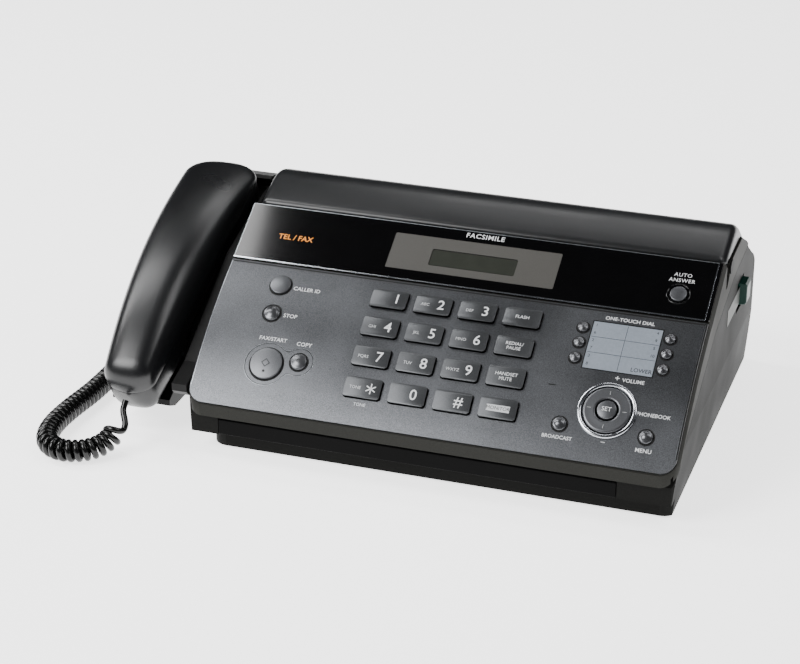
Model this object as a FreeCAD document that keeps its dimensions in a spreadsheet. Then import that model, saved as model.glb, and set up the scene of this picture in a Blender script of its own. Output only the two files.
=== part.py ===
import FreeCAD, Part
import math
import os
import Sketcher
from FreeCAD import Placement, Rotation, Vector

# Desktop fax machine with a corded handset.
# Machine frame used below: X across, zero at the middle of the key plate; Y back from the plate's
# front edge; Z up from the desk.  origin_x and origin_y carry every sub-part into the part's frame.

doc = FreeCAD.newDocument("fax_machine")

SIZES = {
    "origin_x": 27.134, "origin_y": -107.365,
    # key plate: an arc in side view
    "plate_width": 281.0, "plate_arc_radius": 280.0, "plate_arc_length": 93.5, "plate_thick": 1.2,
    "plate_front_height": 32.3, "plate_front_slope": 46.8, "plate_corner_radius": 9.0,
    # display bezel behind the plate
    "bezel_slope": 30.5, "bezel_length": 39.7, "bezel_thick": 1.6,
    "bezel_front_y": 75.9, "bezel_front_z": 89.5,
    # cases
    "case_width": 284.0, "case_depth": 219.0, "case_wall": 2.4, "case_top": 2.3,
    "case_corner_radius": 10.0, "foot_height": 1.5, "foot_radius": 7.0, "part_gap": 0.3,
    # keys
    "key_width": 21.2, "key_depth": 12.0, "key_radius": 1.6, "key_rise": 1.7, "key_pitch_x": 26.1,
    "key_pitch_arc": 19.2, "key_first_x": -39.7, "key_first_arc": 21.9, "key_clearance": 0.4,
    "key_travel": 1.2, "key_bottom": -7.2, "flange_bottom": -6.6, "flange_margin": 1.0,
    "button_rise": 1.3,
    # hinged paper cover
    "cover_width": 281.4, "cover_wall": 2.2, "pin_y": 127.0, "pin_z": 101.0, "pin_radius": 3.0,
    "pin_running_gap": 0.06,
    # printing works
    "roll_radius": 21.0, "roll_width": 216.0, "roll_y": 163.0, "roll_z": 67.0,
    "platen_radius": 8.0, "platen_y": 130.0, "platen_z": 78.0, "roller_length": 220.0,
    "feed_y": 47.0, "feed_z": 30.0, "feed_radius": 8.0,
    "gear_module": 1.0, "platen_teeth": 24, "pinion_teeth": 12,
    # handset and cradle
    "handset_x": -177.0, "handset_y": -3.0, "handset_z": 44.0, "handset_slope": 26.5,
    # curly cord
    "cord_coil_radius": 6.75,
}
sheet = doc.addObject("Spreadsheet::Sheet", "sizes")
for row, (alias, value) in enumerate(SIZES.items(), start=1):
    sheet.set("A%d" % row, alias)
    sheet.set("B%d" % row, str(value))
    sheet.setAlias("B%d" % row, alias)
doc.recompute()


def size(alias):
    return float(sheet.get(alias))


PARTS = []           # every finished sub-part, in the order made


# ---------------------------------------------------------------- panel geometry
R = size("plate_arc_radius")
HALF_ANGLE = size("plate_arc_length") / R / 2.0
CHORD = 2.0 * R * math.sin(HALF_ANGLE)
PANEL_SLOPE = size("plate_front_slope") - math.degrees(HALF_ANGLE)
ARC_DROP = R * math.cos(HALF_ANGLE)           # arc centre below the chord


def arc_local(arc, depth=0.0):
    """Chord-frame (u, n) of the point at this arc length, this deep below the plate's face."""
    angle = arc / R - HALF_ANGLE
    return CHORD / 2 + (R - depth) * math.sin(angle), (R - depth) * math.cos(angle) - ARC_DROP


def tilt(u, n, slope_deg, y0, z0):
    c, s = math.cos(math.radians(slope_deg)), math.sin(math.radians(slope_deg))
    return y0 + u * c - n * s, z0 + u * s + n * c


def plate_point(arc, depth=0.0):
    u, n = arc_local(arc, depth)
    return tilt(u, n, PANEL_SLOPE, 0.0, size("plate_front_height"))


def bezel_point(along, depth=0.0):
    return tilt(along, -depth, size("bezel_slope"), size("bezel_front_y"), size("bezel_front_z"))


def frame_placement(y0=0.0, z0=0.0, slope=0.0, x0=0.0):
    """Placement of a sub-part drawn in a tilted local frame of the machine."""
    base = Vector(size("origin_x") + x0, size("origin_y") + y0, z0)
    return Placement(base, Rotation(Vector(1, 0, 0), slope))


PANEL = frame_placement(0.0, size("plate_front_height"), PANEL_SLOPE)
BEZEL = frame_placement(size("bezel_front_y"), size("bezel_front_z"), size("bezel_slope"))
MACHINE = frame_placement()
HANDSET = frame_placement(size("handset_y"), size("handset_z"), size("handset_slope"), size("handset_x"))


# ---------------------------------------------------------------- builders
def finish(obj, label, placement=MACHINE):
    obj.Label = label
    obj.Placement = placement.multiply(obj.Placement)
    PARTS.append(obj)
    return obj


def plane_of(body, role):
    for feature in body.Origin.OriginFeatures:
        if feature.Role == role:
            return feature


def draw(sketch, outline):
    """Closed outline of lines; a point followed by ("arc", middle) reaches the next point by an arc."""
    points = [p for p in outline if p[0] != "arc"]
    arcs = {}
    for i, p in enumerate(outline):
        if p[0] == "arc":
            arcs[len([q for q in outline[:i] if q[0] != "arc"]) - 1] = p[1]
    for i, p in enumerate(points):
        q = points[(i + 1) % len(points)]
        a, b = Vector(p[0], p[1], 0), Vector(q[0], q[1], 0)
        if i in arcs:
            sketch.addGeometry(Part.Arc(a, Vector(arcs[i][0], arcs[i][1], 0), b))
        else:
            sketch.addGeometry(Part.LineSegment(a, b))


def prism(name, role, outline, start, length, expression=None, length_bound=None):
    """A body: one closed outline on an origin plane, padded from start by length."""
    body = doc.addObject("PartDesign::Body", name)
    sketch = body.newObject("Sketcher::SketchObject", name + "_sketch")
    sketch.AttachmentSupport = (plane_of(body, role), [""])
    sketch.MapMode = "FlatFace"
    sketch.AttachmentOffset = Placement(Vector(0, 0, start), Rotation())
    draw(sketch, outline)
    pad = body.newObject("PartDesign::Pad", name + "_pad")
    pad.Profile = sketch
    pad.Length = length
    if expression:
        sketch.setExpression("AttachmentOffset.Base.z", expression)
    if length_bound:
        pad.setExpression("Length", length_bound)
    return body


def across(name, outline, width_expression):
    """A side-view outline (y, z) padded symmetrically across the machine."""
    return prism(name, "YZ_Plane", outline, -1, 2, "-(%s) / 2" % width_expression, width_expression)


def end_cap(name, x_inner, outline_inner, x_outer, outline_outer):
    """A ruled loft between two side outlines: the bevelled end of a case."""
    sections = []
    for i, (x, outline) in enumerate(((x_inner, outline_inner), (x_outer, outline_outer))):
        section = doc.addObject("Sketcher::SketchObject", "%s_section_%d" % (name, i))
        section.Placement = Placement(Vector(x, 0, 0), Rotation(Vector(1, 1, 1), 120))
        draw(section, outline)
        sections.append(section)
    loft = doc.addObject("Part::Loft", name)
    loft.Sections = sections
    loft.Solid = True
    loft.Ruled = True
    return loft


def rounded(cx, cy, width, depth, r):
    """Outline points of a rounded rectangle."""
    x, y, k = width / 2, depth / 2, r * (1 - math.sqrt(0.5))
    return [(cx - x + r, cy - y), (cx + x - r, cy - y), ("arc", (cx + x - k, cy - y + k)),
            (cx + x, cy - y + r), (cx + x, cy + y - r), ("arc", (cx + x - k, cy + y - k)),
            (cx + x - r, cy + y), (cx - x + r, cy + y), ("arc", (cx - x + k, cy + y - k)),
            (cx - x, cy + y - r), (cx - x, cy - y + r), ("arc", (cx - x + k, cy - y + k))]


def slab(name, cx, cy, width, depth, r, low, high):
    return prism(name, "XY_Plane", rounded(cx, cy, width, depth, r), low, high - low)


def box(name, low, high):
    b = doc.addObject("Part::Box", name)
    b.Length, b.Width, b.Height = (high[i] - low[i] for i in range(3))
    b.Placement = Placement(Vector(*low), Rotation())
    return b


def cylinder(name, radius, height, base, axis="Z", radius_bound=None, height_bound=None):
    c = doc.addObject("Part::Cylinder", name)
    c.Radius, c.Height = radius, height
    turn = {"Z": Rotation(), "X": Rotation(Vector(0, 1, 0), 90), "Y": Rotation(Vector(1, 0, 0), -90)}[axis]
    c.Placement = Placement(Vector(*base), turn)
    if radius_bound:
        c.setExpression("Radius", radius_bound)
    if height_bound:
        c.setExpression("Height", height_bound)
    return c


def fuse(name, shapes):
    f = doc.addObject("Part::MultiFuse", name)
    f.Shapes = shapes
    return f


def common(name, shapes):
    f = doc.addObject("Part::MultiCommon", name)
    f.Shapes = shapes
    return f


def cut(name, base, tool):
    f = doc.addObject("Part::Cut", name)
    f.Base, f.Tool = base, tool
    return f


# ---------------------------------------------------------------- buttons of the panel
KEY_NAMES = [["tone", "zero", "hash", "monitor"], ["seven", "eight", "nine", "mute"],
             ["four", "five", "six", "redial"], ["one", "two", "three", "flash"]]
ROUND_BUTTONS = {          # name: x, arc position, radius
    "caller_id_button": (-105.8, 79.3, 6.2), "stop_button": (-105.2, 59.9, 5.6),
    "start_button": (-99.3, 28.1, 9.6), "copy_button": (-80.8, 31.9, 5.4),
    "one_touch_button_1": (73.3, 79.6, 3.4), "one_touch_button_2": (73.3, 69.6, 3.4),
    "one_touch_button_3": (73.3, 59.6, 3.4), "one_touch_button_4": (122.4, 79.6, 3.4),
    "one_touch_button_5": (122.4, 69.6, 3.4), "one_touch_button_6": (122.4, 59.6, 3.4),
    "broadcast_button": (73.7, 19.1, 4.4), "menu_button": (121.7, 18.9, 4.4),
}
NAV_X, NAV_ARC, NAV_RING, NAV_ROCKER, NAV_SET = 97.7, 30.7, 16.5, 13.4, 5.9
RING_INNER = 13.9


def face_cylinder(name, rise):
    """The solid under the plate's curved face, raised by rise, in the chord frame."""
    width = size("plate_width") + 20
    start = (-width / 2, CHORD / 2, -ARC_DROP)
    return cylinder(name, 1, width, start, "X", "sizes.plate_arc_radius + %s" % rise)


def button(name, shank, flange, rise):
    """Shank under the curved face, with a wider flange that keeps it in the panel."""
    top = common(name + "_top", [shank, face_cylinder(name + "_face", rise)])
    return finish(fuse(name + "_solid", [top, flange]), name, PANEL)


holes = []
LOW, HIGH = size("key_bottom"), 12.0
FLANGE_TOP = size("flange_bottom") + 1.0
GAP, MARGIN = size("key_clearance"), size("flange_margin")
for row, names in enumerate(KEY_NAMES):
    for column, key in enumerate(names):
        name = "key_" + key
        x = size("key_first_x") + column * size("key_pitch_x")
        u = arc_local(size("key_first_arc") + row * size("key_pitch_arc"))[0]
        w, d, r = size("key_width"), size("key_depth"), size("key_radius")
        button(name, slab(name + "_shank", x, u, w, d, r, LOW, HIGH),
               slab(name + "_flange", x, u, w + 2 * MARGIN, d + 2 * MARGIN, r, LOW, FLANGE_TOP),
               "sizes.key_rise")
        holes.append(slab(name + "_hole", x, u, w + 2 * GAP, d + 2 * GAP, r + GAP, -14, HIGH))

for name, (x, arc, radius) in ROUND_BUTTONS.items():
    u = arc_local(arc)[0]
    button(name, cylinder(name + "_shank", radius, HIGH - LOW, (x, u, LOW)),
           cylinder(name + "_flange", radius + MARGIN, 1.0, (x, u, LOW)), "sizes.button_rise")
    holes.append(cylinder(name + "_hole", radius + GAP, HIGH + 14, (x, u, -14)))

nav_u = arc_local(NAV_ARC)[0]
rocker_shank = cylinder("rocker_shank", NAV_ROCKER, HIGH - LOW, (NAV_X, nav_u, LOW))
rocker_top = common("rocker_top", [rocker_shank, face_cylinder("rocker_face", "sizes.button_rise")])
set_hole = cylinder("set_hole", NAV_SET + GAP, HIGH + 14, (NAV_X, nav_u, -14))
finish(cut("rocker_solid", rocker_top, set_hole), "nav_rocker", PANEL)
set_shank = cylinder("set_shank", NAV_SET, HIGH - LOW, (NAV_X, nav_u, LOW))
finish(common("set_solid", [set_shank, face_cylinder("set_face", "sizes.key_rise")]), "nav_set_button", PANEL)
holes.append(cylinder("rocker_hole", RING_INNER, HIGH + 14, (NAV_X, nav_u, -14)))
panel_holes = fuse("panel_holes", holes)

# ---------------------------------------------------------------- key plate and chrome ring
plate_arc = across("plate_arc", [arc_local(0), ("arc", arc_local(size("plate_arc_length") / 2)),
                                 arc_local(size("plate_arc_length")),
                                 arc_local(size("plate_arc_length"), size("plate_thick")),
                                 ("arc", arc_local(size("plate_arc_length") / 2, size("plate_thick"))),
                                 arc_local(0, size("plate_thick"))], "sizes.plate_width")
corner = size("plate_corner_radius")
plate_plan = slab("plate_plan", 0, CHORD / 2 + corner, size("plate_width"), CHORD + 2 * corner, corner, -9, 9)
plate_blank = common("plate_blank", [plate_arc, plate_plan])
plate_holed = cut("plate_holed", plate_blank, panel_holes)
finish(plate_holed, "key_plate", PANEL)

ring_outer = cylinder("ring_outer", NAV_RING, HIGH, (NAV_X, nav_u, 0))
ring_bore = cylinder("ring_bore", RING_INNER, HIGH + 14, (NAV_X, nav_u, -14))
ring_raised = common("ring_raised", [ring_outer, face_cylinder("ring_face", "1.1")])
ring_over = cut("ring_over", ring_raised, face_cylinder("ring_under", "0"))
finish(cut("ring_solid", ring_over, ring_bore), "nav_ring", PANEL)

# ---------------------------------------------------------------- display bezel and its trim
BEZEL_LENGTH, BEZEL_THICK = size("bezel_length"), size("bezel_thick")
PLATE_WIDTH = size("plate_width")
bezel_plate = slab("bezel_plate", 0, BEZEL_LENGTH / 2, PLATE_WIDTH, BEZEL_LENGTH, 0.6, -BEZEL_THICK, 0)
WINDOW_X, WINDOW_LOW, WINDOW_HIGH = 50.0, 6.9, 32.4
WINDOW_MIDDLE, WINDOW_DEPTH = (WINDOW_LOW + WINDOW_HIGH) / 2, WINDOW_HIGH - WINDOW_LOW
window = slab("bezel_window", 0, WINDOW_MIDDLE, 2 * WINDOW_X, WINDOW_DEPTH, 1, -14, 9)
ANSWER_X, ANSWER_ALONG, ANSWER_RADIUS = 120.2, 15.1, 5.0
answer_hole = cylinder("answer_hole", ANSWER_RADIUS + GAP, 30, (ANSWER_X, ANSWER_ALONG, -15))
bezel_tools = fuse("bezel_tools", [window, answer_hole])
finish(cut("bezel_solid", bezel_plate, bezel_tools), "display_bezel", BEZEL)

answer_top = cylinder("answer_top", ANSWER_RADIUS, 7.6, (ANSWER_X, ANSWER_ALONG, -6.6))
answer_flange = cylinder("answer_flange", ANSWER_RADIUS + MARGIN, 0.9, (ANSWER_X, ANSWER_ALONG, -6.6))
finish(fuse("answer_solid", [answer_top, answer_flange]), "auto_answer_button", BEZEL)

TRIM_WIDTH = 0.8
trim_outer = slab("trim_outer", 0, BEZEL_LENGTH / 2, PLATE_WIDTH + 1.8,
                  BEZEL_LENGTH + 2 * TRIM_WIDTH + 0.2, 1.0, -BEZEL_THICK, 0.35)
trim_inner = slab("trim_inner", 0, BEZEL_LENGTH / 2, PLATE_WIDTH + 0.2, BEZEL_LENGTH + 0.2, 0.7, -9, 9)
finish(cut("trim_solid", trim_outer, trim_inner), "trim_strips", BEZEL)

# display module: surround with a recessed window, its glass and circuit below
surround = slab("surround", 0, WINDOW_MIDDLE, 2 * WINDOW_X - 0.4, WINDOW_DEPTH - 0.4, 0.9, -6.5, -0.4)
glass_recess = slab("glass_recess", 0.2, 18.2, 51.0, 11.8, 1.0, -1.2, 9)
finish(cut("module_solid", surround, glass_recess), "display_module", BEZEL)

# ---------------------------------------------------------------- upper case
LIP_BOTTOM = 23.5
PARTING = [(0.0, LIP_BOTTOM), (21.0, 43.0), (92.0, 76.5), (137.0, 88.0), (151.0, 90.0), (181.0, 92.0)]
SHELF = size("plate_thick")
BEZEL_SHELF = BEZEL_THICK
WALL, TOP = size("case_wall"), size("case_top")
ARC = size("plate_arc_length")
BEVEL_WIDTH, BEVEL_DROP = 1.4, 3.4


def case_outline(drop):
    """Side view of the upper case, its panel face lowered by drop."""
    return [PARTING[0], (0.0, 30.7 - drop), plate_point(0, SHELF + drop),
            ("arc", plate_point(ARC / 2, SHELF + drop)), plate_point(ARC, SHELF + drop),
            bezel_point(-1.2, BEZEL_SHELF + drop),
            bezel_point(41.0, BEZEL_SHELF + drop), bezel_point(41.6, 3.2 + drop),
            (115.2, 91.5), (118.6, 91.5), (123.3, 96.6), (124.0, 104.0), (158.0, 106.0), (174.0, 98.0),
            (181.0, 93.5)] + PARTING[:0:-1]


case_middle = across("case_middle", case_outline(0.0), "sizes.case_width - 2 * %s" % BEVEL_WIDTH)
edge_x, end_x = size("case_width") / 2 - BEVEL_WIDTH, size("case_width") / 2
case_outer_side = fuse("case_outer_side", [case_middle] + [
    end_cap("end_cap_" + name, sign * edge_x, case_outline(0.0), sign * end_x, case_outline(BEVEL_DROP))
    for name, sign in (("left", -1), ("right", 1))])
case_plan = slab("case_plan", 0, size("case_depth") / 2, size("case_width"), size("case_depth"),
                 size("case_corner_radius"), -5, 125)
case_front = prism("case_front", "XZ_Plane",
                   [(-142.0, 130.0), (-142.0, 40.0), (-138.4, 0.0), (138.4, 0.0), (142.0, 40.0),
                    (142.0, 130.0)], -230, 240)
case_inner_side = across("case_inner_side", [
    (WALL, 10.0), (WALL, 28.6), plate_point(3.0, SHELF + TOP), ("arc", plate_point(ARC / 2, SHELF + TOP)),
    plate_point(ARC - 1.0, SHELF + TOP), bezel_point(1.5, BEZEL_SHELF + TOP),
    bezel_point(38.5, BEZEL_SHELF + TOP), (112.0, 96.0), (112.0, 10.0)],
    "sizes.case_width - 2 * sizes.case_wall")
case_bin = box("case_bin", (-142 + WALL, 114.6, 60), (142 - WALL, 182, 125))
rear_wall_slot = box("rear_wall_slot", (-112, 111.0, 60), (112, 116, 93))
upper_blank = common("upper_blank", [case_outer_side, case_plan])
panel_holes_placed = doc.addObject("Part::Compound", "panel_holes_placed")
panel_holes_placed.Links = [panel_holes]
panel_holes_placed.Placement = Placement(Vector(0, 0, size("plate_front_height")),
                                         Rotation(Vector(1, 0, 0), PANEL_SLOPE))
bezel_well = slab("bezel_well", 0, WINDOW_MIDDLE, 2 * WINDOW_X, WINDOW_DEPTH, 1, -14, 9)
answer_well = cylinder("answer_well", ANSWER_RADIUS + GAP, 30, (ANSWER_X, ANSWER_ALONG, -15))
bezel_wells = doc.addObject("Part::Compound", "bezel_wells")
bezel_wells.Links = [bezel_well, answer_well]
bezel_wells.Placement = Placement(Vector(0, size("bezel_front_y"), size("bezel_front_z")),
                                  Rotation(Vector(1, 0, 0), size("bezel_slope")))
PIN_Y, PIN_Z = size("pin_y"), size("pin_z")
pin_bores = fuse("pin_bores", [cylinder("pin_bore_%s" % side, 3, 12, (x, PIN_Y, PIN_Z), "X", "sizes.pin_radius")
                               for side, x in (("left", -146), ("right", 134))])
upper_tools = fuse("upper_tools", [case_inner_side, case_bin, rear_wall_slot, pin_bores])
upper_hollow = cut("upper_hollow", upper_blank, upper_tools)
upper_keyed = cut("upper_keyed", upper_hollow, panel_holes_placed)
finish(cut("upper_solid", upper_keyed, bezel_wells), "upper_case")

# ---------------------------------------------------------------- lower case
FLOOR = size("foot_height")
STEP_Z = 11.5
FRONT_Y = 2.9
seam = [(y, z - size("part_gap")) for y, z in PARTING]
lower_side = across("lower_side", [
    (9.0, FLOOR), (9.0, STEP_Z), (FRONT_Y, STEP_Z), (FRONT_Y, 22.9), (6.2, 28.8), seam[1], seam[2], seam[3],
    seam[4], seam[5],
    (184.0, 89.5), (198.0, 80.5), ("arc", (208.5, 72.5)), (214.0, 62.0), (216.2, 15.0), (218.9, FLOOR)],
    "sizes.case_width")
lower_blank = common("lower_blank", [lower_side, case_plan, case_front])
inner_plan = slab("inner_plan", 0, size("case_depth") / 2, size("case_width") - 2 * WALL - 0.8,
                  size("case_depth") - 2 * WALL, size("case_corner_radius") - WALL, -5, 125)
inner_side = across("inner_side", [
    (8.6, 15.0), (8.6, 130.0), (182.5, 130.0), (182.5, 87.2), (196.6, 78.3), ("arc", (206.4, 71.0)),
    (211.4, 61.2), (213.5, 15.0)], "sizes.case_width - 10")
lower_cavity = common("lower_cavity", [inner_plan, inner_side])
foot_cavity = box("foot_cavity", (-127.2, 11.6, FLOOR + 2.5), (135.0, 213.4, 15.0))
BASE_LEFT, BASE_RIGHT, BASE_RADIUS = -130.0, 141.0, 9.0
base_block = box("base_block", (-150, -5, 0), (150, 230, STEP_Z))
base_plan = slab("base_plan", (BASE_LEFT + BASE_RIGHT) / 2, 9.0 + 105.5, BASE_RIGHT - BASE_LEFT, 211.0,
                 BASE_RADIUS, -2, STEP_Z + 2)
base_trim = cut("base_trim", base_block, base_plan)
LEVER_BACK, LEVER_LENGTH = 172.6, 11.4
LINE_JACKS = (-96.0, -72.0)
jacks = [box("line_jack_%d" % i, (x, 205, 22), (x + 11.5, 230, 30)) for i, x in enumerate(LINE_JACKS)]
lever_slot = box("lever_slot", (130, LEVER_BACK - 18.4, 59), (150, LEVER_BACK + 0.4, 78))
GUIDE_LEFT, GUIDE_RIGHT, GUIDE_BACK = -122.5, 108.8, 6.0
guide_recess = box("guide_recess", (GUIDE_LEFT - 0.4, -1, STEP_Z - 0.1), (GUIDE_RIGHT + 0.4, GUIDE_BACK, 34))
lower_tools = fuse("lower_tools", [lower_cavity, foot_cavity, base_trim, lever_slot, guide_recess] + jacks)
finish(cut("lower_shell", lower_blank, lower_tools), "lower_case")

# front paper guide: the dark strip under the lip
guide_bar = prism("guide_bar", "YZ_Plane", [(2.6, 12.0), (2.6, 20.9), (3.4, 21.7), (5.8, 22.2), (5.8, 12.0)],
                  GUIDE_LEFT, GUIDE_RIGHT - GUIDE_LEFT)
finish(guide_bar, "front_guide")

# ---------------------------------------------------------------- hinged paper cover
COVER_TOP = [(117.6, 105.4), (118.6, 108.2), (136.0, 115.4), ("arc", (147.0, 117.4)), (157.0, 114.4),
             (171.0, 103.6), (181.0, 95.2), (179.6, 94.9)]
COVER_UNDER = [(173.6, 98.8), (158.2, 106.9), (124.0, 105.6), (121.6, 104.4)]
cover_outer = across("cover_outer", COVER_TOP + COVER_UNDER, "sizes.cover_width")
cover_inner = across("cover_inner", [(120.0, 101.0), (120.4, 106.4), (137.0, 113.2), ("arc", (147.0, 115.0)),
                                     (155.6, 112.6), (169.4, 102.0), (175.6, 96.0), (174.0, 90.0)],
                     "sizes.cover_width - 2 * sizes.cover_wall")
cover_shell = cut("cover_shell", cover_outer, cover_inner)
EAR_OUTLINE = [(116.6, 101.0), ("arc", (127.0, 90.6)), (137.4, 101.0), (137.4, 114.2), (119.0, 107.0)]
ears = [prism("ear_" + side, "YZ_Plane", EAR_OUTLINE, x, 3.6)
        for side, x in (("left", -139.2), ("right", 135.6))]
ear_bores = fuse("ear_bores", [cylinder("ear_bore_" + side, 3, 12, (x, PIN_Y, PIN_Z), "X",
                                        "sizes.pin_radius + sizes.pin_running_gap")
                               for side, x in (("left", -144), ("right", 133))])
cover_union = fuse("cover_union", [cover_shell] + ears)
finish(cut("cover_solid", cover_union, ear_bores), "paper_cover")
PIN_HEAD_RADIUS = 4.3
pins = []
for side, x, head_x in (("left", -142.0, -142.7), ("right", 134.8, 142.0)):
    pins.append(cylinder("pin_" + side, 3, 7.2, (x, PIN_Y, PIN_Z), "X", "sizes.pin_radius"))
    pins.append(cylinder("pin_head_" + side, PIN_HEAD_RADIUS, 0.7, (head_x, PIN_Y, PIN_Z), "X"))
finish(fuse("pins_solid", pins), "cover_pins")

# green lever that frees the cover
lever_outline = [(131.0, 61.0), (145.5, 62.6), (146.5, 64.0), (146.5, 74.2), (145.3, 76.0), (131.0, 76.0)]
lever_bar = prism("lever_bar", "XZ_Plane", lever_outline, -LEVER_BACK, LEVER_LENGTH)
finish(lever_bar, "cover_lever")

# ---------------------------------------------------------------- printing works
roll_outer = cylinder("roll_outer", 1, 1, (-size("roll_width") / 2, size("roll_y"), size("roll_z")), "X",
                      "sizes.roll_radius", "sizes.roll_width")
roll_bore = cylinder("roll_bore", 6.5, 240, (-120, size("roll_y"), size("roll_z")), "X")
finish(cut("roll_solid", roll_outer, roll_bore), "paper_roll")


def gear(name, teeth, x0, width, cy, cz, phase=0.0):
    """Straight teeth on a hub, slim enough to run freely against another of the same pitch."""
    pitch = size("gear_module") * teeth / 2
    points = []
    for k in range(teeth):
        for offset, radius in ((-0.27, -1.15), (-0.13, 0.85), (0.13, 0.85), (0.27, -1.15)):
            angle = 2 * math.pi * (k + offset) / teeth + phase
            points.append((cy + (pitch + radius) * math.cos(angle), cz + (pitch + radius) * math.sin(angle)))
    return prism(name, "YZ_Plane", points, x0, width)


PY, PZ = size("platen_y"), size("platen_z")
HALF_ROLLER = size("roller_length") / 2
platen = [cylinder("platen_rubber", 8, 1, (-HALF_ROLLER, PY, PZ), "X", "sizes.platen_radius",
                   "sizes.roller_length"),
          cylinder("platen_shaft", 3, 2 * 134.0, (-134.0, PY, PZ), "X"),
          gear("platen_gear", int(size("platen_teeth")), -130, 5, PY, PZ)]
finish(fuse("platen_solid", platen), "platen_roller")
PINION_DISTANCE = size("gear_module") * (size("platen_teeth") + size("pinion_teeth")) / 2
PINION_Y, PINION_Z = PY, PZ - PINION_DISTANCE
pinion_phase = math.pi / 2 + math.pi / size("pinion_teeth")
pinion = [gear("pinion_gear", int(size("pinion_teeth")), -130, 5, PINION_Y, PINION_Z, pinion_phase),
          cylinder("pinion_shaft", 1.5, 14, (-130, PINION_Y, PINION_Z), "X")]
finish(fuse("pinion_solid", pinion), "motor_pinion")
motor_can = cylinder("motor_can", 9.4, 22, (-115.6, PINION_Y, PINION_Z), "X")
motor_plate = box("motor_plate", (-118.0, PINION_Y - 20, PINION_Z - 15),
                  (-115.6, PINION_Y + 14, PINION_Z + 10))
motor_bore = cylinder("motor_bore", 2.2, 10, (-120, PINION_Y, PINION_Z), "X")
finish(cut("motor_solid", fuse("motor_union", [motor_can, motor_plate]), motor_bore), "drive_motor")

FY, FZ = size("feed_y"), size("feed_z")
bearing_blocks = []
for side, x in (("left", -136.8), ("right", 131.6)):
    bearing_blocks.append(box("platen_block_" + side, (x, PY - 8, PZ - 34), (x + 5.2, PY + 8, PZ + 7)))
    bearing_blocks.append(box("feed_block_" + side, (x, FY - 8, 15.2), (x + 5.2, FY + 8, FZ + 7)))
shaft_bores = fuse("shaft_bores", [cylinder("platen_bore", 3.06, 290, (-145, PY, PZ), "X"),
                                   cylinder("feed_bore", 3.06, 290, (-145, FY, FZ), "X")])
finish(cut("bearings_solid", fuse("bearings_union", bearing_blocks), shaft_bores), "roller_bearings")
HEAD_OUTLINE = [(116.0, 78.0), (118.0, 88.0), (121.6, 88.0), (121.6, 70.0), (116.0, 70.0)]
head = prism("head_bar", "YZ_Plane", HEAD_OUTLINE, -109.0, 218.0)
finish(head, "thermal_head")

# document works under the panel
feed = [cylinder("feed_rubber_%d" % i, 8, 36, (x, FY, FZ), "X", "sizes.feed_radius")
        for i, x in enumerate((-98, -18, 62))]
feed.append(cylinder("feed_shaft", 3, 2 * 134.0, (-134.0, FY, FZ), "X"))
finish(fuse("feed_solid", feed), "feed_roller")
sensor = box("sensor_bar", (-112, 26, 19.5), (112, 38.5, 31.5))
finish(sensor, "image_sensor")

# boards
MAT_TOP = size("key_bottom") - size("key_travel") - 0.2
mat = slab("key_mat", 0, 50, 262, 84, 2, MAT_TOP - 1.3, MAT_TOP)
pcb = slab("pcb", 0, 50, 266, 88, 2, MAT_TOP - 3.0, MAT_TOP - 1.3)
finish(fuse("board_solid", [mat, pcb]), "panel_board", PANEL)
finish(box("mainboard", (-100, 62, 7.0), (110, 196, 8.6)), "main_board")

# ---------------------------------------------------------------- feet and screws
FEET = [(-118, 24), (122, 24), (-118, 200), (122, 200)]
feet = [cylinder("foot_%d" % i, 7, 1.5, (x, y, 0), "Z", "sizes.foot_radius", "sizes.foot_height")
        for i, (x, y) in enumerate(FEET)]
finish(fuse("feet_solid", feet), "feet")
SCREWS = [(-100, 16), (100, 16), (-100, 208), (100, 208)]
finish(fuse("screws_solid", [cylinder("screw_%d" % i, 3.2, 1.0, (x, y, FLOOR - 1.0))
                             for i, (x, y) in enumerate(SCREWS)]), "case_screws")

# ---------------------------------------------------------------- handset cradle and hook switch
MOUTH_FLOOR = -32.0        # underside of the mouth end in the handset's local frame


def hand_point(along, up):
    """Machine (y, z) of a point of the handset's side view."""
    return tilt(along, up, size("handset_slope"), size("handset_y"), size("handset_z"))


cradle_side = prism("cradle_side", "YZ_Plane", [
    (19.4, 15.4), (27.0, 12.0), (178.0, 12.0), (178.0, 101.5),
    hand_point(177.0, -20.0), hand_point(174.2, -20.0),
    hand_point(173.8, -26.4), hand_point(167.4, -30.1), hand_point(121.6, -30.1), hand_point(110.8, -21.1),
    hand_point(53.5, -21.1), hand_point(41.2, MOUTH_FLOOR - 0.6), hand_point(9.0, MOUTH_FLOOR - 0.6)],
    -196.0, 45.0)
cradle_web = prism("cradle_web", "YZ_Plane", [
    (5.0, 34.0), (8.5, 30.5), (40.0, 28.0), (40.0, 12.0), (178.0, 12.0), (178.0, 101.5), (150.0, 99.0),
    (92.0, 84.0), (24.0, 44.0), (5.0, 38.5)], -151.5, 9.1)
cradle_undercut = box("cradle_undercut", (-160.0, 0.0, 5.0), (-141.0, 58.0, 27.0))
hook_well = slab("hook_well", -176.6, 110.5, 8.4, 8.4, 1, 50, 90)
cord_jack = box("cord_jack", (-198.0, 90.9, 14.4), (-187.6, 97.1, 20.6))
cradle_tools = fuse("cradle_tools", [hook_well, cord_jack, cradle_undercut])
finish(cut("cradle_solid", fuse("cradle_union", [cradle_side, cradle_web]), cradle_tools), "handset_cradle")
finish(slab("hook_stem", -176.6, 110.5, 7.6, 7.6, 0.8, 54, 72.4), "hook_switch")

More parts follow.
